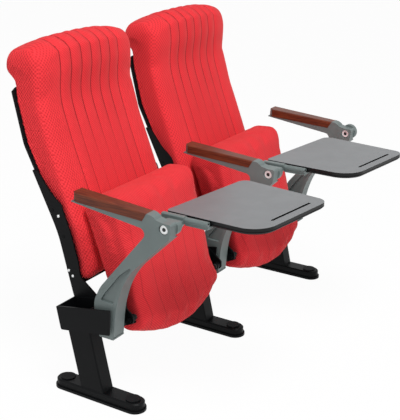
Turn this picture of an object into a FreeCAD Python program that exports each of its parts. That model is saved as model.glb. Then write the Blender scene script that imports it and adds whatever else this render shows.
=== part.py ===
import FreeCAD, Part
import math
import os
from FreeCAD import Vector

# Two tip up auditorium seats on three shared stands, with a writing tablet on two of the arms.
# X runs along the row, the seats face -Y and Z is up. The origin is on the floor at the middle
# of the middle stand's foot. All sizes are in millimetres and all angles in degrees.

# Row
stand_pitch = 570.0
stand_names = ["left", "middle", "right"]
stand_centres = [-stand_pitch, 0.0, stand_pitch]
tablet_stands = {"1": -stand_pitch, "2": 0.0}
seat_centres = {"1": -stand_pitch / 2, "2": stand_pitch / 2}
hinge_sides = {"left": [1], "middle": [-1, 1], "right": [-1]}

# Clearances
seat_gap = 0.3
running_fit = 0.05
fold_clearance = 0.5
seat_side_gap = 4.0

# Foot, a cast bar with a base lip, and the caps over its floor bolts
foot_length = 322.0
foot_lip_width = 66.0
foot_lip_height = 8.0
foot_body_width = 57.0
foot_height = 30.0
foot_edge_bevel = 4.0
floor_bolt_spacing = 242.0
floor_bolt_hole_radius = 5.5
floor_seat_thickness = 12.0
cap_radius = 22.0
cap_height = 3.5
cap_plug_depth = 8.0

# Column, a leaning rectangular tube
column_width = 50.0
column_depth = 84.0
column_wall = 3.0
column_front_y = -30.0
column_lean = 12.7

# Side box, two cheeks with a floor, a rear wall and the web that carries the arm frame
box_half_width = 40.0
box_wall = 4.0
box_front_top = (-76.0, 316.0)
box_front_bottom = (-71.0, 237.0)
box_rear_top = (122.0, 281.0)
box_rear_bottom = (107.0, 209.0)
web_y = -8.0
web_thickness = 6.0

# Arm frame, a curved casting from the side box up to the hub and back under the wood
frame_half_width = 24.0
frame_bottom_z = 222.0
pocket_depth = 8.0
hub_y = -248.0
hub_z = 589.0
hub_back_x = 8.0
hub_sink_radius = 14.5
hub_sink_depth = 9.0
hub_bolt_radius = 6.0
hub_head_radius = 12.5
hub_head_thickness = 5.0
hub_socket_across = 10.0
hub_socket_depth = 4.0
base_cap_thickness = 6.0
base_cap_length = 52.0

# Arm pad, a wood bar on the arm frame
pad_rear_y = 62.0
pad_front_y = -180.0
pad_rear_z = 613.0
pad_front_z = 601.3
pad_thickness = 26.0
pad_nose = 14.5
pad_outer_x = -25.0
pad_rear_inner_x = 25.0
pad_front_inner_x = 12.0
pad_edge_radius = 4.0
arm_strip_rear = 3.0

# Seat, given along its length s and across its thickness t from the pivot, in the tipped pose
pivot_y = -28.0
pivot_z = 286.0
seat_lean = 19.7
seat_front_reach = 337.7
seat_rear_reach = 154.3
seat_rear_round = 56.0
sitting_offset = 39.2
seat_front_slope = 32.0
underside_front = 84.8
underside_middle = (120.5, 70.8)
underside_waist = (-0.3, 57.8)
underside_rear = 66.8
seat_crown = 8.0
underside_crown = 9.0
tip_angle = 96.7

# Channels sewn into the seats and backs: their spacing, and how many lie each side of the middle
seat_seams = (92.0, 1)
back_seams = (46.0, 3)
seam_depth = 2.5

# Soft edge at a cushion's side: how wide it is and how far it draws in, and where it is drawn
seat_edge = (10.0, 7.0)
back_edge = (20.0, 14.0)
edge_steps = [1.0, 0.25, 0.0]

# Seat hinge
bar_radius = 9.0
bar_offsets = [(60.0, 10.0), (-50.0, 5.0)]
hinge_plate_x = 60.0
hinge_plate_thickness = 6.0
hinge_plate_reach = 78.0
hinge_plate_waist = 40.0
notch_radius = 46.0
pivot_radius = 8.0
bracket_thickness = 5.0
housing_radius = 30.0
stop_y = -84.0
stop_z = 258.0
stop_boss_radius = 11.0
buffer_radius = 8.0
seat_half_width = stand_pitch / 2 - hinge_plate_x - hinge_plate_thickness - seat_side_gap

# Back, as side outlines of Y, Z and corner radius, from its lower front up and over the head
strip_thickness = 5.0
back_half_width = stand_pitch / 2 - box_half_width - strip_thickness
back_crown = 10.0
head_crown = 9.0
head_corner = 45.0
back_front_line = [(60.0, 326.0, 26), (100.0, 478.0, 90), (205.0, 735.0, 90)]
head_line = [(238.0, 852.0, 60), (237.0, 930.0, 60), (246.0, 1020.0, 44), (358.0, 1008.0, 40), (362.0, 950.0, 0)]
back_rear_line = [(326.0, 900.0, 0), (283.0, 722.0, 90), (158.0, 474.0, 90), (113.0, 318.0, 0)]
shell_thickness = 16.0
shell_bulge = 5.0
shell_edge_thickness = 7.0
shell_corner_drop = 16.0

# Tablet, measured from its stand's centre
board_width = 355.0
board_depth = 300.0
board_taper = 28.0
board_sweep = 7.0
board_rear_left = (77.0, -188.0)
board_top_z = 604.0
board_thickness = 9.0
tray_thickness = 9.0
tray_edge_inset = 6.0
fold_x = 62.0
knuckle_radius = 8.0
hinge_rear_y = -188.0
hinge_middle_y = -262.0
hinge_front_y = -335.0
hinge_pin_radius = 3.5
leaf_thickness = 6.0
leaf_reach = 132.0
groove_width = 8.0
groove_depth = 3.5
groove_length = 186.0
groove_inset = 30.0
groove_side_inset = 51.0
swivel_radius = 26.0
swivel_face_x = 27.5
swivel_bolt_cover = 4.0
swivel_flat_rise = 15.0
lug_depth = 48.0
lug_height = 26.0
hinge_bar_drop = 11.0

board_bottom_z = board_top_z - board_thickness - tray_thickness
fold_z = (board_top_z + board_bottom_z) / 2
sweep = math.radians(board_sweep)


def polar(radius, angle):
    """A point at a radius and an angle in degrees, as two numbers."""
    return (radius * math.cos(math.radians(angle)), radius * math.sin(math.radians(angle)))


def rounded(corners, place):
    """The closed wire of a polygon whose corners (a, b, radius) are rounded off."""
    count = len(corners)
    starts = []
    middles = []
    ends = []
    for i, (a, b, radius) in enumerate(corners):
        here = Vector(a, b, 0)
        before = Vector(corners[i - 1][0], corners[i - 1][1], 0)
        after = Vector(corners[(i + 1) % count][0], corners[(i + 1) % count][1], 0)
        inward = (here - before).normalize()
        outward = (after - here).normalize()
        half_turn = inward.getAngle(outward) / 2
        reach = radius * math.tan(half_turn)
        starts.append(here - inward * reach)
        ends.append(here + outward * reach)
        bisector = outward - inward
        if radius > 0 and bisector.Length > 1e-9:
            bisector.normalize()
            middles.append(here + bisector * (radius / math.cos(half_turn) - radius))
        else:
            middles.append(None)
    edges = []
    for i in range(count):
        if middles[i] is not None:
            arc = [place(p.x, p.y) for p in (starts[i], middles[i], ends[i])]
            edges.append(Part.Arc(*arc).toShape())
        following = (i + 1) % count
        first = place(ends[i].x, ends[i].y)
        last = place(starts[following].x, starts[following].y)
        if first.distanceToPoint(last) > 1e-6:
            edges.append(Part.LineSegment(first, last).toShape())
    return Part.Wire(edges)


def prism_x(corners, x0, x1):
    """A Y and Z outline pulled along X."""
    wire = rounded(corners, lambda a, b: Vector(x0, a, b))
    return Part.Face(wire).extrude(Vector(x1 - x0, 0, 0))


def prism_y(corners, y0, y1):
    """An X and Z outline pulled along Y."""
    wire = rounded(corners, lambda a, b: Vector(a, y0, b))
    return Part.Face(wire).extrude(Vector(0, y1 - y0, 0))


def prism_z(corners, z0, z1):
    """An X and Y outline pulled along Z."""
    wire = rounded(corners, lambda a, b: Vector(a, b, z0))
    return Part.Face(wire).extrude(Vector(0, 0, z1 - z0))


def block(x0, x1, y0, y1, z0, z1):
    return Part.makeBox(x1 - x0, y1 - y0, z1 - z0, Vector(x0, y0, z0))


def rod_x(y, z, radius, x0, x1):
    return Part.makeCylinder(radius, x1 - x0, Vector(x0, y, z), Vector(1, 0, 0))


def rod_y(x, z, radius, y0, y1):
    return Part.makeCylinder(radius, y1 - y0, Vector(x, y0, z), Vector(0, 1, 0))


def rod_z(x, y, radius, z0, z1):
    return Part.makeCylinder(radius, z1 - z0, Vector(x, y, z0), Vector(0, 0, 1))


def hexagon_x(y, z, across, x0, x1):
    """A hexagonal bar along X, given by its width across the flats."""
    corners = []
    for k in range(6):
        a, b = polar(across / math.sqrt(3), 60 * k)
        corners.append((y + a, z + b, 0))
    return prism_x(corners, x0, x1)


def bevel_edges(shape, size, chosen):
    """Bevels the edges that the chosen test picks."""
    edges = [e for e in shape.Edges if chosen(e)]
    return shape.makeChamfer(size, edges)


def all_at_z(edge, z):
    return edge.BoundBox.ZMin > z - 0.01 and edge.BoundBox.ZMax < z + 0.01


def stadium(length, width):
    half = width / 2
    end = length / 2
    radius = half - 0.01
    return [(-half, -end, radius), (half, -end, radius), (half, end, radius), (-half, end, radius)]


def moved(shape, x):
    copy = shape.copy()
    copy.translate(Vector(x, 0, 0))
    return copy


def save(name, *shapes):
    """Writes one sub-part, as one solid or as a group of solids."""
    solids = []
    for shape in shapes:
        solids.extend(shape.Solids)
    body = solids[0] if len(solids) == 1 else Part.makeCompound(solids)
    body.exportStep("parts/" + name + ".step")
    state = "valid" if body.isValid() else "NOT VALID"
    print(name, len(solids), state, round(body.Volume / 1000, 1))


def box_floor_z(y):
    """Height of the side box's underside."""
    run = box_rear_bottom[0] - box_front_bottom[0]
    fall = box_rear_bottom[1] - box_front_bottom[1]
    return box_front_bottom[1] + (y - box_front_bottom[0]) * fall / run


def foot():
    lip = prism_z(stadium(foot_length, foot_lip_width), 0, foot_lip_height)
    body_length = foot_length - foot_lip_width + foot_body_width
    body = prism_z(stadium(body_length, foot_body_width), foot_lip_height / 2, foot_height)
    body = bevel_edges(body, foot_edge_bevel, lambda e: all_at_z(e, foot_height))
    bar = lip.fuse(body)
    for y in (-floor_bolt_spacing / 2, floor_bolt_spacing / 2):
        bar = bar.cut(rod_z(0, y, floor_bolt_hole_radius, -1, foot_height))
        bar = bar.cut(rod_z(0, y, cap_radius, floor_seat_thickness, foot_height + 1))
    return bar


def foot_caps():
    """Round caps let into the foot over its floor bolts."""
    caps = []
    for y in (-floor_bolt_spacing / 2, floor_bolt_spacing / 2):
        caps.append(rod_z(0, y, cap_radius, foot_height - cap_plug_depth, foot_height + cap_height))
    return caps


def column():
    lean = math.tan(math.radians(column_lean))

    def tube_side(inset):
        """Side outline of the tube, or of its bore at a wall's inset."""
        low = foot_height - (1 if inset else 0)
        front = column_front_y + inset + (low - foot_height) * lean
        rear = column_front_y + column_depth - inset + (low - foot_height) * lean
        slope = (box_floor_z(1) - box_floor_z(0))
        lift = 1 if inset else 0
        corners = [(front, low, 0), (rear, low, 0)]
        for y in (rear, front):
            rise = (box_floor_z(y) + lift - low) / (1 - lean * slope)
            corners.append((y + rise * lean, low + rise, 0))
        return corners

    outer = prism_x(tube_side(0), -column_width / 2, column_width / 2)
    upright = [e for e in outer.Edges if e.BoundBox.XLength < 0.01 and e.BoundBox.ZLength > 100]
    outer = outer.makeFillet(4.0, upright)
    half_bore = column_width / 2 - column_wall
    return outer.cut(prism_x(tube_side(column_wall), -half_bore, half_bore))


def side_box(hinge_sides):
    """The box, with a hole for the seat's pivot in the cheek on each of the named sides."""
    outline = [(*box_front_top, 3), (*box_front_bottom, 3), (*box_rear_bottom, 6), (*box_rear_top, 3)]
    shell = prism_x(outline, -box_half_width, box_half_width)
    inner = box_half_width - box_wall
    floor_run = (box_rear_bottom[0] - box_wall * 1.2, box_floor_z(box_rear_bottom[0]) + box_wall)
    rear_top = (box_rear_top[0] - box_wall + 2, box_rear_top[1] + 20)
    start_y = web_y + web_thickness
    hollow = [
        (start_y, box_floor_z(start_y) + box_wall, 0),
        (*floor_run, 0),
        (*rear_top, 0),
        (start_y, box_front_top[1] + 20, 0),
    ]
    front = [
        (box_front_top[0] - 10, box_front_bottom[1] - 30, 0),
        (web_y, box_front_bottom[1] - 30, 0),
        (web_y, box_front_top[1] + 20, 0),
        (box_front_top[0] - 10, box_front_top[1] + 20, 0),
    ]
    shell = shell.cut(prism_x(hollow, -inner, inner)).cut(prism_x(front, -inner, inner))
    for side in hinge_sides:
        ends = sorted([side * (inner - 1), side * (box_half_width + 1)])
        shell = shell.cut(rod_x(pivot_y, pivot_z, pivot_radius, *ends))
    return shell


def pad_nose_top():
    """Y and Z of the upper edge of the pad's nose, which the arm frame meets."""
    slope = (pad_rear_z - pad_front_z) / (pad_rear_y - pad_front_y)
    return (pad_front_y - pad_nose, pad_front_z - pad_nose * slope + pad_thickness - 2)


frame_outline = [
    (pad_rear_y, pad_rear_z - arm_strip_rear, 1),
    (-203, 577, 17),
    (-30, 372, 120),
    (web_y, 326, 60),
    (web_y, frame_bottom_z, 2),
    (-74, frame_bottom_z, 3),
    (-84, 318, 300),
    (-118, 422, 260),
    (-266, 564, 9),
    (-272, 607, 6),
    (-245, 608, 20),
    (-223, 613, 0),
    (-219, 618, 0),
    (-209, 623, 8),
    (*pad_nose_top(), 0),
    (pad_front_y, pad_front_z, 0),
    (pad_rear_y, pad_rear_z, 0),
]

pocket_outline = [
    (-166, 479, 4),
    (-100, 425, 150),
    (-42, 352, 60),
    (-30, 331, 4),
    (-74, 329, 4),
    (-106, 408, 160),
]


def pad_side_x(y):
    """X of the arm's tapered inner side."""
    nose_y = pad_front_y - pad_nose
    share = (y - nose_y) / (pad_rear_y - nose_y)
    return pad_front_inner_x + share * (pad_rear_inner_x - pad_front_inner_x)


def arm_frame():
    body = prism_x(frame_outline, -frame_half_width, frame_half_width)
    taper = [
        (pad_rear_inner_x, pad_rear_y, 0),
        (pad_rear_inner_x + 20, pad_rear_y, 0),
        (pad_rear_inner_x + 20, hub_y - 50, 0),
        (hub_back_x, hub_y - 50, 0),
        (hub_back_x, hub_y + swivel_radius + 6, 2),
        (pad_front_inner_x, pad_front_y - pad_nose, 0),
    ]
    body = body.cut(prism_z(taper, hub_z - swivel_radius - 2, 2 * hub_z))
    sink = hub_sink_depth - frame_half_width
    body = body.cut(rod_x(hub_y, hub_z, hub_sink_radius, -frame_half_width - 1, sink))
    body = body.cut(rod_x(hub_y, hub_z, hub_bolt_radius, -frame_half_width - 1, hub_back_x + 1))
    body = body.cut(prism_x(pocket_outline, -frame_half_width - 1, -frame_half_width + pocket_depth))
    return body


def base_cap():
    rear = -74 + base_cap_length
    low = frame_bottom_z - base_cap_thickness
    outline = [(-75, low, 4), (rear, low, 4), (rear, frame_bottom_z, 0), (-75, frame_bottom_z, 0)]
    return prism_x(outline, -frame_half_width, frame_half_width)


def arm_pad():
    side = [
        (pad_front_y, pad_front_z, 0),
        (pad_rear_y, pad_rear_z, 0),
        (pad_rear_y - 4, pad_rear_z + pad_thickness, 0),
        (*pad_nose_top(), 0),
    ]
    bar = prism_x(side, pad_outer_x, pad_rear_inner_x)
    plan = [
        (pad_outer_x, pad_front_y - 30, 0),
        (pad_side_x(pad_front_y - 30), pad_front_y - 30, 0),
        (pad_side_x(pad_rear_y + 5), pad_rear_y + 5, 0),
        (pad_outer_x + 14, pad_rear_y + 5, 0),
        (pad_outer_x + 14, pad_rear_y, 0),
        (pad_outer_x, pad_rear_y - 16, 0),
    ]
    bar = bar.common(prism_z(plan, 0, 2 * pad_rear_z))
    top_z = pad_front_z + pad_thickness / 2
    long_edges = [e for e in bar.Edges if e.BoundBox.YLength > pad_rear_y]
    return bar.makeFillet(pad_edge_radius, [e for e in long_edges if e.BoundBox.ZMin > top_z])


def hub_bolt(x, end_x):
    """Socket head bolt on which the tablet swivels, at the floor of the hub's round sink."""
    floor = hub_sink_depth - frame_half_width
    face = floor - hub_head_thickness
    head = rod_x(hub_y, hub_z, hub_head_radius, face, floor)
    head = head.cut(hexagon_x(hub_y, hub_z, hub_socket_across, face - 1, face + hub_socket_depth))
    shank = rod_x(hub_y, hub_z, hub_bolt_radius, floor, end_x)
    return moved(head.fuse(shank), x)


def hub_blank():
    """Plain round cap that closes the hub of an arm without a tablet."""
    return rod_x(hub_y, hub_z, swivel_radius, hub_back_x, frame_half_width)


def seat_yz(s, t):
    """Y and Z of a point along and across the tipped seat, measured from the pivot."""
    lean = math.radians(seat_lean)
    y = pivot_y + s * math.sin(lean) - t * math.cos(lean)
    z = pivot_z + s * math.cos(lean) + t * math.sin(lean)
    return y, z


def seam_places(seams):
    """X of every sewn seam, from the cushion's middle."""
    spacing, count = seams
    return [k * spacing for k in range(-count, count + 1)]


def channel(x, seams):
    """How far the fabric is drawn in at x: full at a seam and nothing midway to the next."""
    nearest = min(abs(x - seam) for seam in seam_places(seams))
    return seam_depth * max(0.0, 1 - 2 * nearest / seams[0])


def stations(half_width, seams, edge):
    """Places across a cushion where its outline is drawn: round every seam, and near the sides."""
    places = []
    for seam in seam_places(seams):
        places += [seam, seam + seams[0] / 2]
    places.append(-places[-1])
    for step in edge_steps:
        places += [step * edge[0] - half_width, half_width - step * edge[0]]
    return sorted(places)


def edge_inset(x, half_width, edge):
    """How far an outline draws in towards a cushion's side: a soft round edge."""
    width, depth = edge
    over = abs(x) - (half_width - width)
    if over <= 0:
        return 0.0
    share = min(1.0, over / width)
    return depth * (1 - math.sqrt(1 - share * share))


def seat_section(x):
    share = x / seat_half_width
    inset = edge_inset(x, seat_half_width, seat_edge)
    sink = channel(x, seat_seams)
    top = -sitting_offset - seat_crown * (1 - share * share) + inset + sink
    under = underside_crown * (1 - share * share) - inset - sink
    rear = -seat_rear_reach + seat_rear_round * share * share + inset
    front = seat_front_reach - inset
    soft = inset * 0.7
    corners = [
        (rear, top, 36 - soft),
        (front, top, 42 - soft),
        (front - seat_front_slope, underside_front + under, 36 - soft),
        (underside_middle[0], underside_middle[1] + under, 0),
        (underside_waist[0], underside_waist[1] + under, 80),
        (rear, underside_rear + under, 36 - soft),
    ]
    return rounded(corners, lambda s, t: Vector(x, *seat_yz(s, t)))


def seat_cushion():
    sections = [seat_section(x) for x in stations(seat_half_width, seat_seams, seat_edge)]
    cushion = Part.makeLoft(sections, True, True)
    for s, t in bar_offsets:
        y, z = seat_yz(s, t)
        cushion = cushion.cut(rod_x(y, z, bar_radius, -seat_half_width - 1, seat_half_width + 1))
    return cushion


def cross_bars():
    """The seat frame's two bars, which run through the cushion from plate to plate."""
    reach = stand_pitch / 2 - hinge_plate_x - hinge_plate_thickness
    bars = []
    for s, t in bar_offsets:
        y, z = seat_yz(s, t)
        bars.append(rod_x(y, z, bar_radius, -reach, reach))
    return bars


def around_pivot(radius, angle):
    """Y and Z at a radius and an angle round the pivot."""
    a, b = polar(radius, angle)
    return (pivot_y + a, pivot_z + b)


def hinge_plate():
    """Steel plate on the seat's side, for the stand on its left. The buffer stands in its notch."""
    down, up = notch_edges()
    outline = [
        (*around_pivot(notch_radius, down), 0),
        (*around_pivot(hinge_plate_reach, down), 3),
        (*around_pivot(hinge_plate_reach, 66), 12),
        (*around_pivot(hinge_plate_waist, 15), 16),
        (*around_pivot(hinge_plate_waist, -45), 16),
        (*around_pivot(hinge_plate_reach - 8, -102), 12),
        (*around_pivot(hinge_plate_reach, up), 3),
        (*around_pivot(notch_radius, up), 0),
    ]
    x0 = hinge_plate_x
    x1 = hinge_plate_x + hinge_plate_thickness
    plate = prism_x(outline, x0, x1)
    return plate.cut(rod_x(pivot_y, pivot_z, pivot_radius + running_fit, x0 - 1, x1 + 1))


def notch_edges():
    """Angles of the notch's edges, which meet the buffer when the seat is down and when it is up."""
    run = stop_y - pivot_y
    rise = stop_z - pivot_z
    buffer_angle = math.degrees(math.atan2(rise, run)) + 360
    half = math.degrees(math.asin((buffer_radius + seat_gap) / math.hypot(run, rise)))
    return buffer_angle - half - tip_angle, buffer_angle + half


def pivot_bracket():
    """Black bracket on the box's cheek, with the spring housing and the boss of the buffer."""
    x0 = box_half_width
    x1 = x0 + bracket_thickness
    outline = [
        (pivot_y + 24, pivot_z + 18, 12),
        (pivot_y - 20, pivot_z + 24, 14),
        (stop_y - 13, stop_z + 14, 10),
        (stop_y - 13, stop_z - 13, 10),
        (stop_y + 12, stop_z - 13, 8),
        (pivot_y + 24, pivot_z - 30, 12),
    ]
    face = hinge_plate_x - fold_clearance
    bracket = prism_x(outline, x0, x1)
    bracket = bracket.fuse(rod_x(pivot_y, pivot_z, housing_radius, x1, face))
    bracket = bracket.fuse(rod_x(stop_y, stop_z, stop_boss_radius, x1, face))
    return bracket.cut(rod_x(pivot_y, pivot_z, pivot_radius, x0 - 1, face + 1))


def stop_buffer():
    """Rubber buffer on the bracket's boss, which stands in the hinge plate's notch."""
    start = hinge_plate_x - fold_clearance
    end = hinge_plate_x + hinge_plate_thickness + fold_clearance
    return rod_x(stop_y, stop_z, buffer_radius, start, end)


def stop_nut():
    """Hexagon nut on the stud of the buffer, in front of the arm's leg."""
    return hexagon_x(stop_y, stop_z, 15.0, box_half_width - 6, box_half_width)


def pivot_pin():
    """Bolt through cheek, bracket, housing and hinge plate, with its retaining ring."""
    head_end = box_half_width - box_wall
    head = hexagon_x(pivot_y, pivot_z, 22.0, head_end - 6, head_end)
    ring_x = hinge_plate_x + hinge_plate_thickness + 0.4
    shank = rod_x(pivot_y, pivot_z, pivot_radius, head_end, ring_x)
    ring = rod_x(pivot_y, pivot_z, pivot_radius + 3, ring_x, ring_x + 2)
    return head.fuse(shank).fuse(ring)


def corner_drop(x):
    """How far the head falls away towards its two upper corners."""
    over = abs(x) - (back_half_width - head_corner)
    if over <= 0:
        return 0.0
    share = over / head_corner
    return head_corner * (1 - math.sqrt(max(0.0, 1 - share * share)))


def back_section(x):
    share = x / back_half_width
    hollow = 1 - share * share
    inset = edge_inset(x, back_half_width, back_edge)
    drawn = inset + channel(x, back_seams)
    lean_in = back_crown * hollow - drawn
    head = head_crown * hollow
    top = head - max(inset, corner_drop(x))
    soft = inset * 0.8
    foot, waist, chest = back_front_line
    neck, brow, crest, nape, nape_foot = head_line
    rear = [(y - inset * 0.2, z, r) for y, z, r in back_rear_line[:3]]
    corners = [
        (foot[0] + drawn, foot[1] + inset, foot[2] - soft),
        (waist[0] + drawn, waist[1], waist[2]),
        (chest[0] - lean_in, chest[1], chest[2]),
        (neck[0] - lean_in + head * 0.6, neck[1], neck[2]),
        (brow[0] - lean_in - head, brow[1], brow[2]),
        (crest[0] - lean_in - head, crest[1] + top, crest[2] - soft),
        (nape[0] - inset, nape[1] + top, nape[2] - soft),
        (nape_foot[0] - inset, nape_foot[1] + top * 0.7, 0),
        *rear,
        (back_rear_line[3][0] - inset * 0.2, foot[1] + inset, 0),
    ]
    return rounded(corners, lambda y, z: Vector(x, y, z))


def back_cushion():
    sections = [back_section(x) for x in stations(back_half_width, back_seams, back_edge)]
    return Part.makeLoft(sections, True, True)


def shell_section(x):
    """The shell's outline, thinner and lower towards the back's two sides."""
    share = x / back_half_width
    fall = share ** 6
    swell = shell_bulge * (1 - share * share)
    deep = shell_thickness + swell - fall * (shell_thickness - shell_edge_thickness)
    front = [(y + seat_gap, z, r) for y, z, r in back_rear_line]
    top_y = front[0][0] - 2
    top_z = front[0][1] - 6 - fall * shell_corner_drop
    low_y, low_z, _ = front[3]
    corners = [
        (top_y - fall * 4, top_z - 2, 0),
        *front[1:3],
        (low_y, low_z - 6, 0),
        (low_y + deep, low_z - 10, 5 - 2 * fall),
        (front[2][0] + deep, front[2][1], 90),
        (front[1][0] + deep, front[1][1], 90),
        (top_y - fall * 4 + deep, top_z, 5 - 2 * fall),
    ]
    return rounded(corners, lambda y, z: Vector(x, y, z))


def back_shell():
    near = back_half_width - back_edge[0]
    spans = [-back_half_width, -near, 0, near, back_half_width]
    return Part.makeLoft([shell_section(x) for x in spans], True, True)


strip_outline = [
    (156, 562, 8),
    (194, 594, 40),
    (240, 652, 3),
    (259, 652, 3),
    (171, 474, 400),
    (125, 300, 20),
    (114, 264, 10),
    (36, 277, 8),
    (36, 306, 3),
    (94, 350, 30),
    (99, 395, 60),
    (124, 482, 200),
]


def back_strip():
    """Steel strip that carries a back, for the stand on its left."""
    x0 = box_half_width
    return prism_x(strip_outline, x0, x0 + strip_thickness)


def board_point(across, forward):
    """X and Y on the board, across its width and forward from its rear left corner."""
    x = board_rear_left[0] + across * math.cos(sweep) - forward * math.sin(sweep)
    y = board_rear_left[1] - across * math.sin(sweep) - forward * math.cos(sweep)
    return x, y


def board_outline(inset):
    far = board_width - inset
    deep = board_depth - inset
    return [
        (*board_point(inset, inset), 12 - inset),
        (*board_point(far, inset), 28 - inset),
        (*board_point(far, deep), 34 - inset),
        (*board_point(board_taper + inset, deep), 75 - inset),
    ]


def tablet_board():
    board = prism_z(board_outline(0), board_bottom_z + tray_thickness, board_top_z)
    end = board_width - groove_side_inset
    start = end - groove_length
    half = groove_width / 2
    middle = board_depth - groove_inset
    groove = [
        (*board_point(start, middle - half), half - 0.01),
        (*board_point(end, middle - half), half - 0.01),
        (*board_point(end, middle + half), half - 0.01),
        (*board_point(start, middle + half), half - 0.01),
    ]
    return board.cut(prism_z(groove, board_top_z - groove_depth, board_top_z + 1))


def tablet_tray():
    """Black underside of the board with a drawn-in lower edge."""
    top_z = board_bottom_z + tray_thickness
    upper = rounded(board_outline(0), lambda a, b: Vector(a, b, top_z))
    middle = rounded(board_outline(0), lambda a, b: Vector(a, b, top_z - 3))
    lower = rounded(board_outline(tray_edge_inset), lambda a, b: Vector(a, b, board_bottom_z))
    rim = Part.makeLoft([upper, middle], True, True)
    return rim.fuse(Part.makeLoft([middle, lower], True, True))


def tablet_leaf():
    """Hinge leaf under the board, with the knuckle that turns on the front half of the pin."""
    rear = hinge_middle_y - fold_clearance
    low = board_bottom_z - leaf_thickness
    web_x = fold_x - knuckle_radius / 2
    plan = [
        (web_x, hinge_front_y, 0),
        (leaf_reach, hinge_front_y, 10),
        (leaf_reach, rear, 10),
        (web_x, rear, 0),
    ]
    leaf = prism_z(plan, low, board_bottom_z)
    web = block(web_x, fold_x + knuckle_radius / 2, hinge_front_y, rear, low + 1, fold_z)
    leaf = leaf.fuse(web).fuse(rod_y(fold_x, fold_z, knuckle_radius, hinge_front_y, rear))
    return leaf.cut(rod_y(fold_x, fold_z, hinge_pin_radius + running_fit, hinge_front_y - 1, rear + 1))


def swivel():
    """Drum on the hub bolt, whose lug carries the bar that holds the rear half of the fold pin."""
    reach = 2 * swivel_radius
    drum = rod_x(hub_y, hub_z, swivel_radius, hub_back_x + seat_gap, swivel_face_x)
    flat_z = hub_z + swivel_flat_rise
    drum = drum.cut(block(0, swivel_face_x + 1, hub_y - reach, hub_y + reach, flat_z, flat_z + reach))
    lug_top = fold_z - 1
    lug_low = lug_top - lug_height
    lug_outline = [
        (hinge_middle_y, lug_top, 0),
        (hinge_middle_y, lug_top - 8, 8),
        (hinge_middle_y + 12, lug_low, 12),
        (hinge_middle_y + lug_depth, lug_low, 8),
        (hinge_middle_y + lug_depth, lug_top, 0),
    ]
    lug = prism_x(lug_outline, swivel_face_x - 1, fold_x)
    bar_low = fold_z - hinge_bar_drop
    bar_outline = [
        (fold_x - knuckle_radius, bar_low, 2),
        (fold_x + knuckle_radius, bar_low, 2),
        (fold_x + knuckle_radius, board_top_z, 2),
        (fold_x - knuckle_radius, board_top_z, 4),
    ]
    bar = prism_y(bar_outline, hinge_middle_y, hinge_rear_y)
    body = drum.fuse(lug).fuse(bar)
    body = body.cut(rod_y(fold_x, fold_z, hinge_pin_radius, hinge_middle_y - 1, hinge_rear_y + 1))
    bolt_end = swivel_face_x - swivel_bolt_cover
    return body.cut(rod_x(hub_y, hub_z, hub_bolt_radius + running_fit, 0, bolt_end))


def hinge_pin():
    return rod_y(fold_x, fold_z, hinge_pin_radius, hinge_front_y, hinge_rear_y)


def mirrored(shape):
    return shape.mirror(Vector(0, 0, 0), Vector(1, 0, 0))


def pair(shapes, left, right):
    """The shapes on the left stand and their mirror images on the right stand."""
    return [moved(s, left) for s in shapes] + [moved(mirrored(s), right) for s in shapes]


def main():
    os.makedirs("parts", exist_ok=True)
    one_foot = foot()
    one_column = column()
    one_frame = arm_frame()
    one_pad = arm_pad()
    for name, x in zip(stand_names, stand_centres):
        save("foot_" + name, moved(one_foot, x))
        save("column_" + name, moved(one_column, x))
        save("side_box_" + name, moved(side_box(hinge_sides[name]), x))
        save("arm_frame_" + name, moved(one_frame, x))
        save("arm_pad_" + name, moved(one_pad, x))
    save("foot_caps", *[moved(cap, x) for x in stand_centres for cap in foot_caps()])
    save("base_caps", *[moved(base_cap(), x) for x in stand_centres])
    bolt_end = swivel_face_x - swivel_bolt_cover
    ends = [bolt_end, bolt_end, hub_back_x]
    save("hub_bolts", *[hub_bolt(x, end) for x, end in zip(stand_centres, ends)])
    save("hub_blank", moved(hub_blank(), stand_centres[2]))

    cushion = seat_cushion()
    back = back_cushion()
    shell = back_shell()
    for name, x in seat_centres.items():
        left = x - stand_pitch / 2
        right = x + stand_pitch / 2
        save("seat_cushion_" + name, moved(cushion, x))
        save("seat_bars_" + name, *[moved(bar, x) for bar in cross_bars()])
        save("seat_plates_" + name, *pair([hinge_plate()], left, right))
        save("pivot_brackets_" + name, *pair([pivot_bracket()], left, right))
        save("pivot_pins_" + name, *pair([pivot_pin()], left, right))
        save("stop_buffers_" + name, *pair([stop_buffer()], left, right))
        save("stop_nuts_" + name, *pair([stop_nut()], left, right))
        save("back_cushion_" + name, moved(back, x))
        save("back_shell_" + name, moved(shell, x))
        save("back_strips_" + name, *pair([back_strip()], left, right))

    pieces = {
        "swivel": swivel(),
        "pin": hinge_pin(),
        "leaf": tablet_leaf(),
        "board": tablet_board(),
        "tray": tablet_tray(),
    }
    for name, x in tablet_stands.items():
        for piece, shape in pieces.items():
            save("tablet_" + piece + "_" + name, moved(shape, x))


main()
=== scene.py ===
# %% [markdown]
# This lesson dresses a bay of two tip up auditorium seats. A CAD model already holds every piece
# at its real size, so the work here is the look: upholstery, finishes, small fasteners, light
# and camera. One metre in Blender is one metre of the real row.

import math

import bmesh
import bpy
import numpy as np
from mathutils import Matrix, Quaternion, Vector


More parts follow.
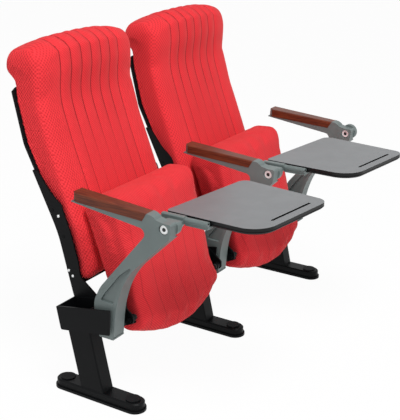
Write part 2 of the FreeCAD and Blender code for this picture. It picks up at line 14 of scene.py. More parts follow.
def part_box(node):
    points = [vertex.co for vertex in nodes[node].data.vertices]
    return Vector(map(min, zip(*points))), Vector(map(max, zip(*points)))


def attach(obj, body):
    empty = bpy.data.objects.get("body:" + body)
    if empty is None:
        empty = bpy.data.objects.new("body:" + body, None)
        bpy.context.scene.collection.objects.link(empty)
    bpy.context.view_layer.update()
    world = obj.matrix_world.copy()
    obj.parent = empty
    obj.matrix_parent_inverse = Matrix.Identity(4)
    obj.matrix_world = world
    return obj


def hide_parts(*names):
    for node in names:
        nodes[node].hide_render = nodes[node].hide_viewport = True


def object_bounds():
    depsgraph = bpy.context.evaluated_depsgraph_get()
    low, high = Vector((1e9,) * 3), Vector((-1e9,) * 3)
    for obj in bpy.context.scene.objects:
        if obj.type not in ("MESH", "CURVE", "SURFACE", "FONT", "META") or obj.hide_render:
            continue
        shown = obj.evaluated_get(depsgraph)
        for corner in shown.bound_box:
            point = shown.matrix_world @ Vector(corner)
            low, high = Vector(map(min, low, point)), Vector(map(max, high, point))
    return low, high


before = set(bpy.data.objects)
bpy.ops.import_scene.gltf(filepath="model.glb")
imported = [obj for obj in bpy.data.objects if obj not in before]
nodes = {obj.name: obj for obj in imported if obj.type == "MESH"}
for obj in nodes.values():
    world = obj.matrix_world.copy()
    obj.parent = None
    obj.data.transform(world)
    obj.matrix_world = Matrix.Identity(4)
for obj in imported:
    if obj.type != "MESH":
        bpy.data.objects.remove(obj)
cad_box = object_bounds()
mm = 0.001
print("pieces from the CAD model:", len(nodes))

# %% [markdown]
# Three small helpers carry all the finishes. The first turns a colour such as "#6F7A79" into the
# linear numbers that a shader wants. The second adds one shader node, sets it and links it, so
# that each finish below reads like a recipe. The third starts a material with its main shader.

# %% Colour and node helpers
def linear(code):
    """Linear RGBA of an sRGB colour such as "#6F7A79"."""
    channels = [int(code[i:i + 2], 16) / 255 for i in (1, 3, 5)]
    return tuple(c / 12.92 if c <= 0.04045 else ((c + 0.055) / 1.055) ** 2.4 for c in channels) + (1.0,)


def add(tree, kind, inputs=None, **settings):
    """Adds a node with its settings. Each input is a value, or another node's output to link."""
    node = tree.nodes.new(kind)
    for name, value in settings.items():
        setattr(node, name, value)
    for key, value in (inputs or {}).items():
        if isinstance(value, bpy.types.NodeSocket):
            tree.links.new(value, node.inputs[key])
        else:
            node.inputs[key].default_value = value
    return node


def start_finish(name, roughness, metallic=0.0, **more):
    """A new material, its node tree and its main shader."""
    material = bpy.data.materials.new(name)
    material.use_nodes = True
    shader = material.node_tree.nodes["Principled BSDF"]
    shader.inputs["Roughness"].default_value = roughness
    shader.inputs["Metallic"].default_value = metallic
    for key, value in more.items():
        shader.inputs[key.replace("_", " ")].default_value = value
    return material, material.node_tree, shader


print("white is", linear("#FFFFFF"))

# %% [markdown]
# Most rigid pieces have a finish with very little pattern: two close shades that drift over the
# surface, and a fine bump that breaks up the reflections. An image of each surface could give
# this too, but it would need a flat layout of every piece, and noise in space doesn't. One recipe
# covers them, with the size of the drift and of the bump given in millimetres.

# %% Recipe for painted, moulded and cast surfaces
def plain_finish(name, light, dark, roughness, drift_mm, grain_mm, grain_depth, metallic=0.0, **more):
    material, tree, shader = start_finish(name, roughness, metallic, **more)
    place = add(tree, "ShaderNodeTexCoord").outputs["Object"]
    drift = add(tree, "ShaderNodeTexNoise", {"Vector": place, "Scale": 1 / (drift_mm * mm), "Detail": 2.0})
    shade = add(tree, "ShaderNodeMix", {"Factor": drift.outputs["Fac"]}, data_type="RGBA")
    shade.inputs["A"].default_value = linear(dark)
    shade.inputs["B"].default_value = linear(light)
    tree.links.new(shade.outputs["Result"], shader.inputs["Base Color"])
    grain = add(tree, "ShaderNodeTexNoise", {"Vector": place, "Scale": 1 / (grain_mm * mm), "Detail": 3.0})
    bump = add(tree, "ShaderNodeBump", {"Height": grain.outputs["Fac"], "Distance": grain_depth * mm})
    bump.inputs["Strength"].default_value = 0.6
    tree.links.new(bump.outputs["Normal"], shader.inputs["Normal"])
    return material


print("recipe ready")

# %% [markdown]
# The foot, column, side box, strips and hinge parts are steel with black powder coat. Powder
# melts into a skin with a slight orange peel about 2 mm across, which blurs its highlights.
# Caps and the back's shell are black moulded plastic, a little greyer and more matt. A reflection
# of the white studio would turn all of them grey, so their specular level is low.

# %% Black finishes
low_gloss = {"Specular_IOR_Level": 0.1}
powder_coat = plain_finish("black_powder_coat", "#0C0D0F", "#070809", 0.42, 90, 2.2, 0.05, **low_gloss)
moulded_plastic = plain_finish(
    "black_moulded_plastic", "#0F1012", "#0A0A0C", 0.6, 60, 1.2, 0.04, **low_gloss
)
edge_plastic = plain_finish("black_edge_band", "#0A0B0C", "#060607", 0.5, 60, 1.0, 0.02, **low_gloss)
buffer_rubber = plain_finish("black_rubber", "#1C1C1C", "#131313", 0.75, 40, 0.8, 0.04)
print("black finishes:", powder_coat.name, moulded_plastic.name, edge_plastic.name, buffer_rubber.name)

# %% [markdown]
# The arm frames and the tablet hinges are aluminium castings with a grey green paint. The sand
# of the mould leaves a soft unevenness of a few millimetres under the paint, and the paint
# itself is satin, so edges catch a narrow highlight.

# %% Painted castings
satin = {"Specular_IOR_Level": 0.3}
painted_casting = plain_finish("grey_painted_casting", "#6C7675", "#5E6867", 0.4, 70, 3.0, 0.06, **satin)
print("casting paint:", painted_casting.name)

# %% [markdown]
# Bolts, pins and the hinge pin are zinc plated or chromed steel. A metal takes its look from
# what it reflects, so its base colour is the colour of its highlights.

# %% Bright metal
chrome = plain_finish("bright_plated_steel", "#D8DADC", "#BFC2C4", 0.18, 12, 0.6, 0.01, metallic=1.0)
blasted_zinc = plain_finish("bright_blasted_zinc", "#F0F1F1", "#E2E4E4", 0.4, 12, 0.6, 0.02, metallic=0.3)
print("bright metal:", chrome.name, blasted_zinc.name)

# %% [markdown]
# The arm pads are stained beech under a gloss lacquer. Beech has a straight fine grain with
# streaks a few millimetres apart that run along the pad, so the noise that colours it is
# stretched about 25 times along the row frame's Y axis. The lacquer is the shader's coat.

# %% Lacquered wood
def lacquered_beech():
    lacquer = {"Coat_Weight": 0.1, "Coat_Roughness": 0.2, "Specular_IOR_Level": 0.2}
    material, tree, shader = start_finish("stained_lacquered_beech", 0.45, **lacquer)
    place = add(tree, "ShaderNodeTexCoord").outputs["Object"]
    streaks = 1 / (3.0 * mm)
    stretch = 25
    scale = (streaks, streaks / stretch, streaks)
    along = add(tree, "ShaderNodeMapping", {"Vector": place, "Scale": scale}).outputs["Vector"]
    noise = add(tree, "ShaderNodeTexNoise", {"Vector": along, "Scale": 1.0, "Detail": 4.0})
    grain = noise.outputs["Fac"]
    tones = add(tree, "ShaderNodeValToRGB", {"Fac": grain})
    tones.color_ramp.elements[0].position = 0.3
    tones.color_ramp.elements[0].color = linear("#451E15")
    tones.color_ramp.elements[1].position = 0.75
    tones.color_ramp.elements[1].color = linear("#763A22")
    tree.links.new(tones.outputs["Color"], shader.inputs["Base Color"])
    bump = add(tree, "ShaderNodeBump", {"Height": grain, "Distance": 0.05 * mm, "Strength": 0.4})
    tree.links.new(bump.outputs["Normal"], shader.inputs["Normal"])
    return material


wood = lacquered_beech()
print("wood:", wood.name)

# %% [markdown]
# The writing tablets are fibreboard with a grey satin laminate. The laminate's pattern is finer
# than a millimetre and reads as a plain grey, so only a faint cloudiness and its sheen show. The
# board's edge is closed with a black band, so wherever the surface doesn't face up it is black.

# %% Tablet laminate
sheen = {"Specular_IOR_Level": 0.25}
laminate = plain_finish("grey_satin_laminate", "#75787A", "#696B6D", 0.34, 45, 0.9, 0.015, **sheen)


def band_the_edge(material, band):
    tree = material.node_tree
    shader = tree.nodes["Principled BSDF"]
    face_colour = shader.inputs["Base Color"].links[0].from_socket
    normal = add(tree, "ShaderNodeTexCoord").outputs["Normal"]
    facing = add(tree, "ShaderNodeSeparateXYZ", {0: normal}).outputs
    on_edge = add(tree, "ShaderNodeMath", {0: facing[2], 1: 0.6}, operation="LESS_THAN").outputs[0]
    banded = add(tree, "ShaderNodeMix", {"Factor": on_edge}, data_type="RGBA")
    tree.links.new(face_colour, banded.inputs["A"])
    banded.inputs["B"].default_value = linear(band)
    tree.links.new(banded.outputs["Result"], shader.inputs["Base Color"])


band_the_edge(laminate, "#0A0B0C")
print("laminate:", laminate.name)

# %% [markdown]
# The upholstery is a woven polyester. In the middle panels it is a twill with diagonal ribs, and
# the back's outer panels and sides have a diamond weave. The real threads are finer than a pixel,
# so the ribs are drawn about 6 mm apart and the diamonds 9 mm. Both are sine waves of the
# position, which stay put when the cushion moves. Thread ends scatter light at grazing angles,
# and the shader's sheen gives that soft pale edge. The needle pulls the cloth together at each
# seam, and a dark line of painted shade runs along the groove it makes.

# %% One wave of the weave
def wave(tree, a, b, weight_a, weight_b, pitch_mm):
    """Sine of a mix of two coordinates, one period for each pitch."""
    turns = 2 * math.pi / (pitch_mm * mm)
    first = add(tree, "ShaderNodeMath", {0: a, 1: weight_a * turns}, operation="MULTIPLY")
    second = add(tree, "ShaderNodeMath", {0: b, 1: weight_b * turns}, operation="MULTIPLY")
    total = add(tree, "ShaderNodeMath", {0: first.outputs[0], 1: second.outputs[0]}, operation="ADD")
    return add(tree, "ShaderNodeMath", {0: total.outputs[0]}, operation="SINE").outputs[0]


print("wave helper ready")

# %% [markdown]
# The twill is one slanting wave, and the diamonds are the sum of a rising and a falling one. The
# same height gives the bump and darkens the colour, so the valleys between the threads carry
# painted shade. A faint cloud over the whole cushion keeps the red from looking like paint. The
# seat is twill all over, so its border lies beyond its edge.

# %% Woven upholstery
thread_ends = {"Sheen_Weight": 0.5, "Sheen_Roughness": 0.4, "Sheen_Tint": linear("#FF8A86")}
bright_red = "#E83A40"
shaded_red = "#9C0D17"
# The dark red of the painted shade in each seam's groove.
seam_groove_shade_red = "#5E0A12"


def woven_upholstery(name, border_mm, coarse_sides):
    """The cloth turns from twill to diamonds about border_mm from its middle."""
    material, tree, shader = start_finish(name, 0.8, Specular_IOR_Level=0.1, **thread_ends)
    source = add(tree, "ShaderNodeTexCoord")
    place = add(tree, "ShaderNodeSeparateXYZ", {0: source.outputs["Object"]}).outputs
    facing = add(tree, "ShaderNodeSeparateXYZ", {0: source.outputs["Normal"]}).outputs
    sideways = add(tree, "ShaderNodeMath", {0: facing[0]}, operation="ABSOLUTE").outputs[0]
    on_side = add(tree, "ShaderNodeMath", {0: sideways, 1: 0.7}, operation="GREATER_THAN").outputs[0]
    across = add(tree, "ShaderNodeMix", {"Factor": on_side, "A": place[0], "B": place[1]}).outputs["Result"]
    rib = wave(tree, across, place[2], 1.0, 1.0, 8.0)
    twill = add(tree, "ShaderNodeMath", {0: rib, 1: 1.5}, operation="MULTIPLY").outputs[0]
    rising = wave(tree, across, place[2], 1.0, 0.8, 9.5)
    falling = wave(tree, across, place[2], 1.0, -0.8, 9.5)
    diamonds = add(tree, "ShaderNodeMath", {0: rising, 1: falling}, operation="ADD").outputs[0]
    reach = add(tree, "ShaderNodeMath", {0: place[0]}, operation="ABSOLUTE").outputs[0]
    fade = {"Value": reach, "From Min": (border_mm - 30) * mm, "From Max": (border_mm + 40) * mm}
    outer = add(tree, "ShaderNodeMapRange", fade).outputs["Result"]
    coarse = outer
    if coarse_sides:
        coarse = add(tree, "ShaderNodeMath", {0: outer, 1: on_side}, operation="MAXIMUM").outputs[0]
    weave = add(tree, "ShaderNodeMix", {"Factor": coarse, "A": twill, "B": diamonds}).outputs["Result"]
    # The weave's height becomes painted shade: the lower the thread, the darker the red.
    relief = {"Value": weave, "From Min": -3.6, "From Max": 1.4}
    weave_valley_shade = add(tree, "ShaderNodeMapRange", relief).outputs["Result"]
    cloud_in = {"Vector": source.outputs["Object"], "Scale": 9.0, "Detail": 2.0}
    cloud = add(tree, "ShaderNodeTexNoise", cloud_in).outputs["Fac"]
    cloudy = add(tree, "ShaderNodeMath", {0: cloud, 1: 0.25}, operation="MULTIPLY").outputs[0]
    light = add(tree, "ShaderNodeMath", {0: weave_valley_shade, 1: cloudy}, operation="ADD").outputs[0]
    colour = add(tree, "ShaderNodeMix", {"Factor": light}, data_type="RGBA")
    colour.inputs["A"].default_value = linear(shaded_red)
    colour.inputs["B"].default_value = linear(bright_red)
    # Painted shade along each seam: the red darkens in the seam's groove.
    seam_shade = add(tree, "ShaderNodeAttribute", attribute_name="seam_shade").outputs["Fac"]
    seam_shaded = add(tree, "ShaderNodeMix", {"Factor": seam_shade, "A": colour.outputs["Result"]}, data_type="RGBA")
    seam_shaded.inputs["B"].default_value = linear(seam_groove_shade_red)
    tree.links.new(seam_shaded.outputs["Result"], shader.inputs["Base Color"])
    bump = add(tree, "ShaderNodeBump", {"Height": weave, "Distance": 0.4 * mm, "Strength": 0.8})
    tree.links.new(bump.outputs["Normal"], shader.inputs["Normal"])
    return material


back_border_mm = 138
seat_border_mm = 400
back_cloth = woven_upholstery("red_woven_back_cloth", back_border_mm, True)
seat_cloth = woven_upholstery("red_woven_seat_cloth", seat_border_mm, False)
print("cloth:", back_cloth.name, seat_cloth.name)

# %% [markdown]
# Each CAD piece now gets the finish of the real piece. A piece's name says what it is, so a
# table from the start of a name to a finish is enough. The first start that fits counts.

# %% Finish the CAD pieces
finish_of = {
    "foot_caps": moulded_plastic,
    "foot_": powder_coat,
    "column_": powder_coat,
    "side_box_": powder_coat,
    "base_caps": painted_casting,
    "arm_frame_": painted_casting,
    "arm_pad_": wood,
    "hub_bolts": blasted_zinc,
    "hub_blank": painted_casting,
    "seat_bars_": chrome,
    "seat_plates_": powder_coat,
    "pivot_brackets_": powder_coat,
    "pivot_pins_": powder_coat,
    "stop_buffers_": buffer_rubber,
    "stop_nuts_": powder_coat,
    "back_shell_": moulded_plastic,
    "back_strips_": powder_coat,
    "tablet_swivel_": painted_casting,
    "tablet_pin_": chrome,
    "tablet_leaf_": painted_casting,
    "tablet_board_": laminate,
    "tablet_tray_": edge_plastic,
    "seat_cushion_": seat_cloth,
    "back_cushion_": back_cloth,
}


def finish_for(node):
    for start, material in finish_of.items():
        if node.startswith(start):
            return material
    raise KeyError(node)


for name, piece in nodes.items():
    piece.data.materials.clear()
    piece.data.materials.append(finish_for(name))
print("finished", len(nodes), "CAD pieces")

# %% [markdown]
# Upholstery starts from a copy of the CAD cushion, which has the right place and outline. The
# next helpers copy a piece, and read and write all its points at once as an array, which is far
# quicker than a loop over them.

# %% Copy a piece and reach its points
def copied(node, name, centre):
    """A copy of a CAD piece with its origin at a centre, so that its patterns start there."""
    mesh = nodes[node].data.copy()
    mesh.transform(Matrix.Translation(-Vector(centre)))
    mesh.materials.clear()
    piece = bpy.data.objects.new(name, mesh)
    piece.location = centre
    bpy.context.scene.collection.objects.link(piece)
    return piece


def points_of(piece):
    flat = np.empty(len(piece.data.vertices) * 3)
    piece.data.vertices.foreach_get("co", flat)
    return flat.reshape(-1, 3)


def set_points(piece, points):
    piece.data.vertices.foreach_set("co", points.reshape(-1))
    piece.data.update()


def normals_of(piece):
    flat = np.empty(len(piece.data.vertices) * 3)
    piece.data.vertices.foreach_get("normal", flat)
    return flat.reshape(-1, 3)


def apply_modifiers(piece):
    graph = bpy.context.evaluated_depsgraph_get()
    mesh = bpy.data.meshes.new_from_object(piece.evaluated_get(graph))
    piece.modifiers.clear()
    piece.data = mesh


print("point helpers ready")

# %% [markdown]
# The copy is remeshed into even squares, and the bends that foam rounds most are smoothed, more
# where a weight says so. Then it is drawn in a little and blown up from inside as cloth, so that
# flat panels swell and corners stay tight, as foam under a sewn cover does. The swelling could be
# drawn by hand, but the cloth finds it from the shape. A limit on how far each point may move
# keeps the cushion inside its real size.

# %% Blow up a cushion
def soften(piece, strength, steps):
    """Smooths the mesh, more where strength(points, normals) is near 1, to lose hard bends."""
    group = piece.vertex_groups.new(name="soft")
    for index, weight in enumerate(strength(points_of(piece), normals_of(piece))):
        if weight > 0.01:
            group.add([index], float(weight), "REPLACE")
    smooth = piece.modifiers.new("soften", "SMOOTH")
    smooth.vertex_group = "soft"
    smooth.factor = 0.5
    smooth.iterations = steps
    apply_modifiers(piece)
    piece.vertex_groups.clear()


square_mm = 7
draw_in_mm = 2
cap_mm = 9
foam_pressure = 4.0
cloth_frames = 20


def blow_up(piece, strength, steps):
    remesh = piece.modifiers.new("even_squares", "REMESH")
    remesh.mode = "VOXEL"
    remesh.voxel_size = square_mm * mm
    remesh.use_smooth_shade = True
    apply_modifiers(piece)
    soften(piece, lambda points, normals: np.ones(len(points)), 2)
    soften(piece, strength, steps)
    set_points(piece, points_of(piece) - normals_of(piece) * draw_in_mm * mm)
    start = points_of(piece).copy()
    cloth = piece.modifiers.new("foam", "CLOTH")
    cloth.settings.use_pressure = True
    cloth.settings.uniform_pressure_force = foam_pressure
    cloth.settings.effector_weights.gravity = 0.0
    cloth.settings.tension_stiffness = 20
    cloth.settings.compression_stiffness = 20
    cloth.settings.quality = 4
    for number in range(1, cloth_frames + 1):
        bpy.context.scene.frame_set(number)
    apply_modifiers(piece)
    moved = points_of(piece) - start
    length = np.linalg.norm(moved, axis=1, keepdims=True)
    limit = cap_mm * mm
    moved *= np.minimum(1.0, limit / np.maximum(length, 1e-9))
    set_points(piece, start + moved)
    bpy.context.scene.frame_set(1)
    finer = piece.modifiers.new("finer", "SUBSURF")
    finer.levels = 1
    apply_modifiers(piece)


print("upholstery helpers ready")

# %% [markdown]
# Seams come after the remesh, which would wipe them out. For each seam the mesh is cut along
# three planes a few millimetres apart, and the middle line is then pulled in, which makes a
# crisp valley. A wide shallow dip on both sides turns the panels between two seams into soft
# channels. A bump in the cloth alone would not show at the outline, so the channels are shape.
# The seam's depth at each point is also kept for the cloth, which uses it to paint shade into the groove.

# %% Sew the channels
half_width_mm = 2.5


def sew(piece, places_mm, depth_mm, channel_mm, spacing_mm, shows):
    """Seams across X at the places, where shows(points, normals) says how much they show."""
    shape = bmesh.new()
    shape.from_mesh(piece.data)
    for place in places_mm:
        for offset in (-half_width_mm, 0.0, half_width_mm):
            whole = shape.verts[:] + shape.edges[:] + shape.faces[:]
            spot = Vector(((place + offset) * mm, 0, 0))
            bmesh.ops.bisect_plane(shape, geom=whole, dist=0.0004, plane_co=spot, plane_no=(1, 0, 0))
    shape.to_mesh(piece.data)
    shape.free()
    piece.data.update()
    points = points_of(piece)
    normals = normals_of(piece)
    away = np.min([np.abs(points[:, 0] - place * mm) for place in places_mm], axis=0)
    line = np.clip(1 - away / (half_width_mm * mm), 0, 1)
    dip = np.exp(-(away / (spacing_mm * mm * 0.22)) ** 2)
    amount = shows(points, normals)
    pull = (line * depth_mm + dip * channel_mm) * mm * amount
    set_points(piece, points - normals * pull[:, None])
    # How much painted shade the cloth puts in the groove at each point.
    seam_shade = piece.data.attributes.new("seam_shade", "FLOAT", "POINT")
    seam_shade.data.foreach_set("value", (line * np.clip(amount, 0, 1)).astype(np.float32))
    for polygon in piece.data.polygons:
        polygon.use_smooth = True


print("seams ready")

# %% [markdown]
# The back cushion has seven seams, 46 mm apart, that start at the top edge, run over the head
# roll and down to the seat. All are deep on the head and neck. Below, the middle ones fade and
# the outer ones stay. The cover is pulled round the rear edge to the shell, which fills that edge.
# Three functions say where: they look at each point's height, place across and facing.

# %% Where the back's seams and bends are
seam_spacing = 46
back_seams = [k * seam_spacing for k in range(-3, 4)]


def back_shows(points, normals):
    front = np.clip(-normals[:, 1] * 1.5 + normals[:, 2], 0, 1)
    upper = np.clip((points[:, 2] - 0.64) / 0.16, 0.25, 1)
    outer = np.clip((np.abs(points[:, 0]) - 0.07) / 0.04, 0, 0.75)
    return front * np.maximum(upper, outer)


def back_bends(points, normals):
    """The bends of the back's front face, which foam rounds far more than its edges."""
    front = np.clip(-normals[:, 1] * 2 - 0.6, 0, 1)
    height = np.clip((0.93 - points[:, 2]) / 0.06, 0, 1) * np.clip((points[:, 2] - 0.36) / 0.05, 0, 1)
    middle = np.clip((0.225 - np.abs(points[:, 0])) / 0.03, 0, 1)
    head = np.clip((points[:, 2] - 0.90) / 0.03, 0, 1) * 0.15
    return np.maximum(front * height * middle, head)


def fill_rear_edge(piece, reach_mm):
    """Pushes the rounded rear side edges out and back, where the cover is pulled to the shell."""
    points = points_of(piece)
    normals = normals_of(piece)
    weight = np.clip(np.abs(normals[:, 0]) * 1.6, 0, 1) * np.clip(normals[:, 1] * 1.6, 0, 1)
    weight *= np.clip((0.9 - points[:, 2]) / 0.05, 0, 1)
    points[:, 0] += np.sign(points[:, 0]) * weight * reach_mm * mm
    points[:, 1] += weight * reach_mm * mm
    set_points(piece, points)


print("back seams at", back_seams, "mm")

# %% [markdown]
# Both backs are alike, so one is made and its mesh is copied. Each new cushion rides on the body
# of the CAD piece it replaces, and that piece is hidden.

# %% Back cushions
def finish_piece(piece, material, body, slot_name, *replaced):
    piece.data.materials.clear()
    piece.data.materials.append(material)
    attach(piece, body)
    if replaced:
        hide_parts(*replaced)


back_low, back_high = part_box("back_cushion_1")
first_back = copied("back_cushion_1", "upholstered_back_1", ((back_low.x + back_high.x) / 2, 0, 0))
blow_up(first_back, back_bends, 120)
fill_rear_edge(first_back, 5)
sew(first_back, back_seams, 1.8, 3.2, seam_spacing, back_shows)
second_back = bpy.data.objects.new("upholstered_back_2", first_back.data.copy())
second_back.location = (-first_back.location.x, 0, 0)
bpy.context.scene.collection.objects.link(second_back)
for number, piece in (("1", first_back), ("2", second_back)):
    finish_piece(piece, back_cloth, "stands", "red_fabric", "back_cushion_" + number)
print("back cushion points:", len(first_back.data.vertices))

# %% [markdown]
# The seat cushion is stored tipped up, so its underside faces forward and its front roll is on
# top. Its seams run over the front roll and down the underside.

# %% Seat cushions
seat_low, seat_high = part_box("seat_cushion_1")
seat_seam_spacing = 58
seat_seams = [k * seat_seam_spacing for k in range(-3, 4)]


def seat_shows(points, normals):
    front = np.clip(-normals[:, 1] * 1.5 + normals[:, 2] * 0.3, 0, 1)
    height = np.clip((0.62 - points[:, 2]) / 0.2, 0.25, 1)
    return front * height * 0.35


def seat_bends(points, normals):
    return np.clip(-normals[:, 1] * 2 - 0.8, 0, 1) * np.clip((0.2 - np.abs(points[:, 0])) / 0.03, 0, 1)


first_seat = copied("seat_cushion_1", "upholstered_seat_1", ((seat_low.x + seat_high.x) / 2, 0, 0))
blow_up(first_seat, seat_bends, 20)
sew(first_seat, seat_seams, 1.5, 2.2, seat_seam_spacing, seat_shows)
second_seat = bpy.data.objects.new("upholstered_seat_2", first_seat.data.copy())
second_seat.location = (-first_seat.location.x, 0, 0)
bpy.context.scene.collection.objects.link(second_seat)
for number, piece in (("1", first_seat), ("2", second_seat)):
    finish_piece(piece, seat_cloth, "seat_" + number, "red_fabric", "seat_cushion_" + number)
print("seat cushion points:", len(first_seat.data.vertices))

# %% [markdown]
# Screws hold the strips to the back's shell and the tablet's leaf to its board. A screw head is
# a turned part, so it is made as a lathe would: one outline of radius and height, spun round.
# That also gives it its drive, a small hole in the middle.

# %% A turned piece
def turned(name, outline_mm, place, direction, material, body, steps=24):
    """A turned piece. The outline is a list of radius and height, from the middle outwards."""
    shape = bmesh.new()
    rings = []
    for radius, height in outline_mm:
        ring = []
        for step in range(steps):
            angle = 2 * math.pi * step / steps
            x = radius * mm * math.cos(angle)
            y = radius * mm * math.sin(angle)
            ring.append(shape.verts.new((x, y, height * mm)))
        rings.append(ring)
    for inner, outer in zip(rings, rings[1:]):
        for step in range(steps):
            following = (step + 1) % steps
            shape.faces.new((inner[step], inner[following], outer[following], outer[step]))
    shape.faces.new(rings[0])
    shape.faces.new(list(reversed(rings[-1])))
    bmesh.ops.recalc_face_normals(shape, faces=shape.faces[:])
    mesh = bpy.data.meshes.new(name)
    shape.to_mesh(mesh)
    shape.free()
    mesh.materials.append(material)
    for polygon in mesh.polygons:
        polygon.use_smooth = True
    piece = bpy.data.objects.new(name, mesh)
    bpy.context.scene.collection.objects.link(piece)
    turn = Vector(direction).to_track_quat("Z", "Y").to_matrix().to_4x4()
    piece.matrix_world = Matrix.Translation(Vector(place)) @ turn
    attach(piece, body)
    return piece


print("lathe ready")

# %% [markdown]
# Each strip of a back has five screws, in the places that the photo shows on the left one. Some
# are zinc plated and some black, also as in the photo.

# %% Strip screws
screw_head = [(1.8, 0.9), (2.0, 2.4), (3.4, 2.3), (4.5, 1.2), (4.7, -0.5)]
strip_screws_mm = [(189, 540), (166, 526), (152, 464), (135, 362), (121, 347)]
stand_at = {"left": -0.570, "middle": 0.0, "right": 0.570}
strip_sides = {"1": [("left", 1), ("middle", -1)], "2": [("middle", 1), ("right", -1)]}
strip_face_mm = 40
for number, sides in strip_sides.items():
    for stand, side in sides:
        face_x = stand_at[stand] + side * strip_face_mm * mm
        for count, (y, z) in enumerate(strip_screws_mm, 1):
            tag = "left" if side > 0 else "right"
            name = "strip_screw_" + number + "_" + tag + "_" + str(count)
            spot = (face_x, y * mm, z * mm)
            coat = powder_coat if count in (1, 3) else blasted_zinc
            turned(name, screw_head, spot, (-side, 0, 0), coat, "stands")
print("strip screws:", 4 * len(strip_screws_mm))

# %% [markdown]
# Two pan head screws hold each tablet's leaf to its tray from below. A thin black disc on the face
# of each hub bolt is painted shade, the dark hex socket in the middle of the bright bolt.

# %% Leaf screws and painted shade of the bolt sockets
leaf_low, leaf_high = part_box("tablet_leaf_1")
leaf_screw_x_mm = 115
tablet_stand = {"1": "left", "2": "middle"}
for number, stand in tablet_stand.items():
    for count, share in enumerate((0.3, 0.7), 1):
        y = leaf_low.y + share * (leaf_high.y - leaf_low.y)
        spot = (stand_at[stand] + leaf_screw_x_mm * mm, y, leaf_low.z)
        name = "leaf_screw_" + number + "_" + str(count)
        turned(name, screw_head, spot, (0, 0, -1), powder_coat, "tablet_" + number)
bolt_low, bolt_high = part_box("hub_bolts")
# A dark disc of painted shade stands for each hub bolt's hex socket.
socket_shade_disc = [(0.5, 0.6), (4.2, 0.5), (5.6, 0.2), (5.8, -0.4)]
hub_y_mm = -248
for name, stand_x in stand_at.items():
    head_x = stand_x + bolt_low.x - stand_at["left"]
    spot = (head_x, hub_y_mm * mm, (bolt_low.z + bolt_high.z) / 2)
    turned("socket_shade_disc_" + name, socket_shade_disc, spot, (-1, 0, 0), buffer_rubber, "stands")
print("leaf screws: 4, socket plugs: 3")

# %% [markdown]
# A pen groove runs near the front edge of each board. A thin black sheet of painted shade on its
# floor makes it read as a dark line. The board is turned by 7 degrees against the row, so the sheet
# is laid out across the board and forward from its rear left corner, as the board itself is.

# %% Painted shade in the pen grooves
board_sweep = math.radians(7.0)
board_corner_mm = (77.0, -188.0)
groove_ends_mm = (118.0, 304.0)
groove_forward_mm = 270.0
groove_half_mm = 3.9
groove_floor_mm = 3.5
shade_sheet_thickness_mm = 0.6


# A black sheet on the groove floor, painted shade that darkens the pen groove.
def groove_liner(number, stand_x):
    floor_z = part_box("tablet_board_" + number)[1].z - groove_floor_mm * mm
    shape = bmesh.new()
    rim = []
    for end, turn in zip(groove_ends_mm, (90, -90)):
        for step in range(9):
            angle = math.radians(turn + step * 180 / 8)
            across = end + groove_half_mm * math.cos(angle)
            forward = groove_forward_mm + groove_half_mm * math.sin(angle)
            x = across * math.cos(board_sweep) - forward * math.sin(board_sweep)
            y = -across * math.sin(board_sweep) - forward * math.cos(board_sweep)
            x += board_corner_mm[0]
            y += board_corner_mm[1]
            rim.append(shape.verts.new((stand_x + x * mm, y * mm, floor_z)))
    face = shape.faces.new(rim)
    raised = bmesh.ops.extrude_face_region(shape, geom=[face])["geom"]
    top = [v for v in raised if isinstance(v, bmesh.types.BMVert)]
    bmesh.ops.translate(shape, verts=top, vec=(0, 0, shade_sheet_thickness_mm * mm))
    bmesh.ops.recalc_face_normals(shape, faces=shape.faces[:])
    mesh = bpy.data.meshes.new("groove_liner_" + number)
    shape.to_mesh(mesh)
    shape.free()
    mesh.materials.append(edge_plastic)
    shade_sheet = bpy.data.objects.new("groove_liner_" + number, mesh)
    bpy.context.scene.collection.objects.link(shade_sheet)
    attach(shade_sheet, "tablet_" + number)


for number, stand in tablet_stand.items():
    groove_liner(number, stand_at[stand])
print("groove liners: 2")

# %% [markdown]
# The photo is a studio shot on white. The floor is pale and keeps a faint shadow, and where the
# camera or a reflection sees the world it sees white. The lamps stay at a plain level: a large
# soft light high on the front left, which shades the lower fronts, and two weak ones, from the
# left for the cushions' sides and from the front right for the shadows.

# %% Floor and light
def seen_directly(tree):
    """One for a ray from the camera, a reflection or glass, and zero for light that bounces."""
    path = add(tree, "ShaderNodeLightPath").outputs
    first = {0: path["Is Camera Ray"], 1: path["Is Glossy Ray"]}
    either = add(tree, "ShaderNodeMath", first, operation="MAXIMUM").outputs[0]
    every = {0: either, 1: path["Is Transmission Ray"]}
    return add(tree, "ShaderNodeMath", every, operation="MAXIMUM").outputs[0]


def studio_floor():
    bpy.ops.mesh.primitive_plane_add(size=40)
    floor = bpy.context.object
    floor.name = "studio_floor"
    material, tree, shader = start_finish("pale_floor", 0.9)
    shader.inputs["Base Color"].default_value = linear("#F2F2F2")
    glow = add(tree, "ShaderNodeEmission", {"Color": (1.0, 1.0, 1.0, 1.0), "Strength": 1.0})
    share = add(tree, "ShaderNodeMath", {0: seen_directly(tree), 1: 0.96}, operation="MULTIPLY")
    both = add(tree, "ShaderNodeMixShader", {0: share.outputs[0], 1: shader.outputs[0], 2: glow.outputs[0]})
    tree.links.new(both.outputs[0], tree.nodes["Material Output"].inputs["Surface"])
    floor.data.materials.append(material)


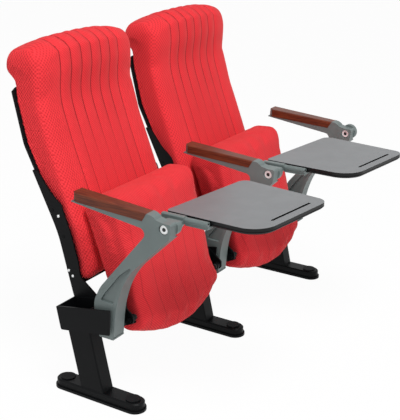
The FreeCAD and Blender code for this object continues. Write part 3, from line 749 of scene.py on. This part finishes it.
def studio_world(strength):
    world = bpy.data.worlds.new("studio")
    bpy.context.scene.world = world
    world.use_nodes = True
    tree = world.node_tree
    sky = tree.nodes["Background"]
    sky.inputs["Color"].default_value = (1.0, 1.0, 1.0, 1.0)
    sky.inputs["Strength"].default_value = strength
    white = add(tree, "ShaderNodeBackground", {"Color": (1.0, 1.0, 1.0, 1.0), "Strength": 1.0})
    seen = seen_directly(tree)
    both = add(tree, "ShaderNodeMixShader", {0: seen, 1: sky.outputs[0], 2: white.outputs[0]})
    tree.links.new(both.outputs[0], tree.nodes["World Output"].inputs["Surface"])


def soft_light(name, place, target, size, power):
    data = bpy.data.lights.new(name, "AREA")
    data.size = size
    data.energy = power
    lamp = bpy.data.objects.new(name, data)
    bpy.context.scene.collection.objects.link(lamp)
    lamp.location = place
    lamp.rotation_mode = "QUATERNION"
    lamp.rotation_quaternion = (Vector(target) - Vector(place)).to_track_quat("-Z", "Y")


middle = (cad_box[0] + cad_box[1]) / 2
studio_floor()
studio_world(0.3)
soft_light("key_light", (-1.4, -1.9, 4.9), middle, 1.8, 215)
soft_light("left_light", (-4.0, -0.9, 2.0), middle, 2.2, 34)
soft_light("fill_light", (2.6, -3.8, 1.6), middle, 2.6, 18)
print("light aimed at", tuple(round(c, 3) for c in middle))

# %% [markdown]
# The camera stands where the photographer stood: in front and to the left of the row, a little
# above the arms. The values come from matching the row's stands and arms to the photo, whose
# frame is 400 by 420 pixels.

# %% Camera
camera_data = bpy.data.cameras.new("photo_camera")
camera_data.lens = 83.88
camera_data.sensor_width = 36
camera = bpy.data.objects.new("photo_camera", camera_data)
bpy.context.scene.collection.objects.link(camera)
camera.location = (-2.5702, -1.6140, 1.5133)
azimuth = math.radians(-57.66)
elevation = math.radians(19.85)
roll = math.radians(0.28)
forward = Vector((
    -math.sin(azimuth) * math.cos(elevation),
    math.cos(azimuth) * math.cos(elevation),
    -math.sin(elevation),
))
camera.rotation_mode = "QUATERNION"
camera.rotation_quaternion = forward.to_track_quat("-Z", "Y") @ Quaternion((0, 0, 1), roll)
bpy.context.scene.camera = camera
bpy.context.scene.view_settings.view_transform = "Standard"
print("camera looks along", tuple(round(c, 3) for c in forward))
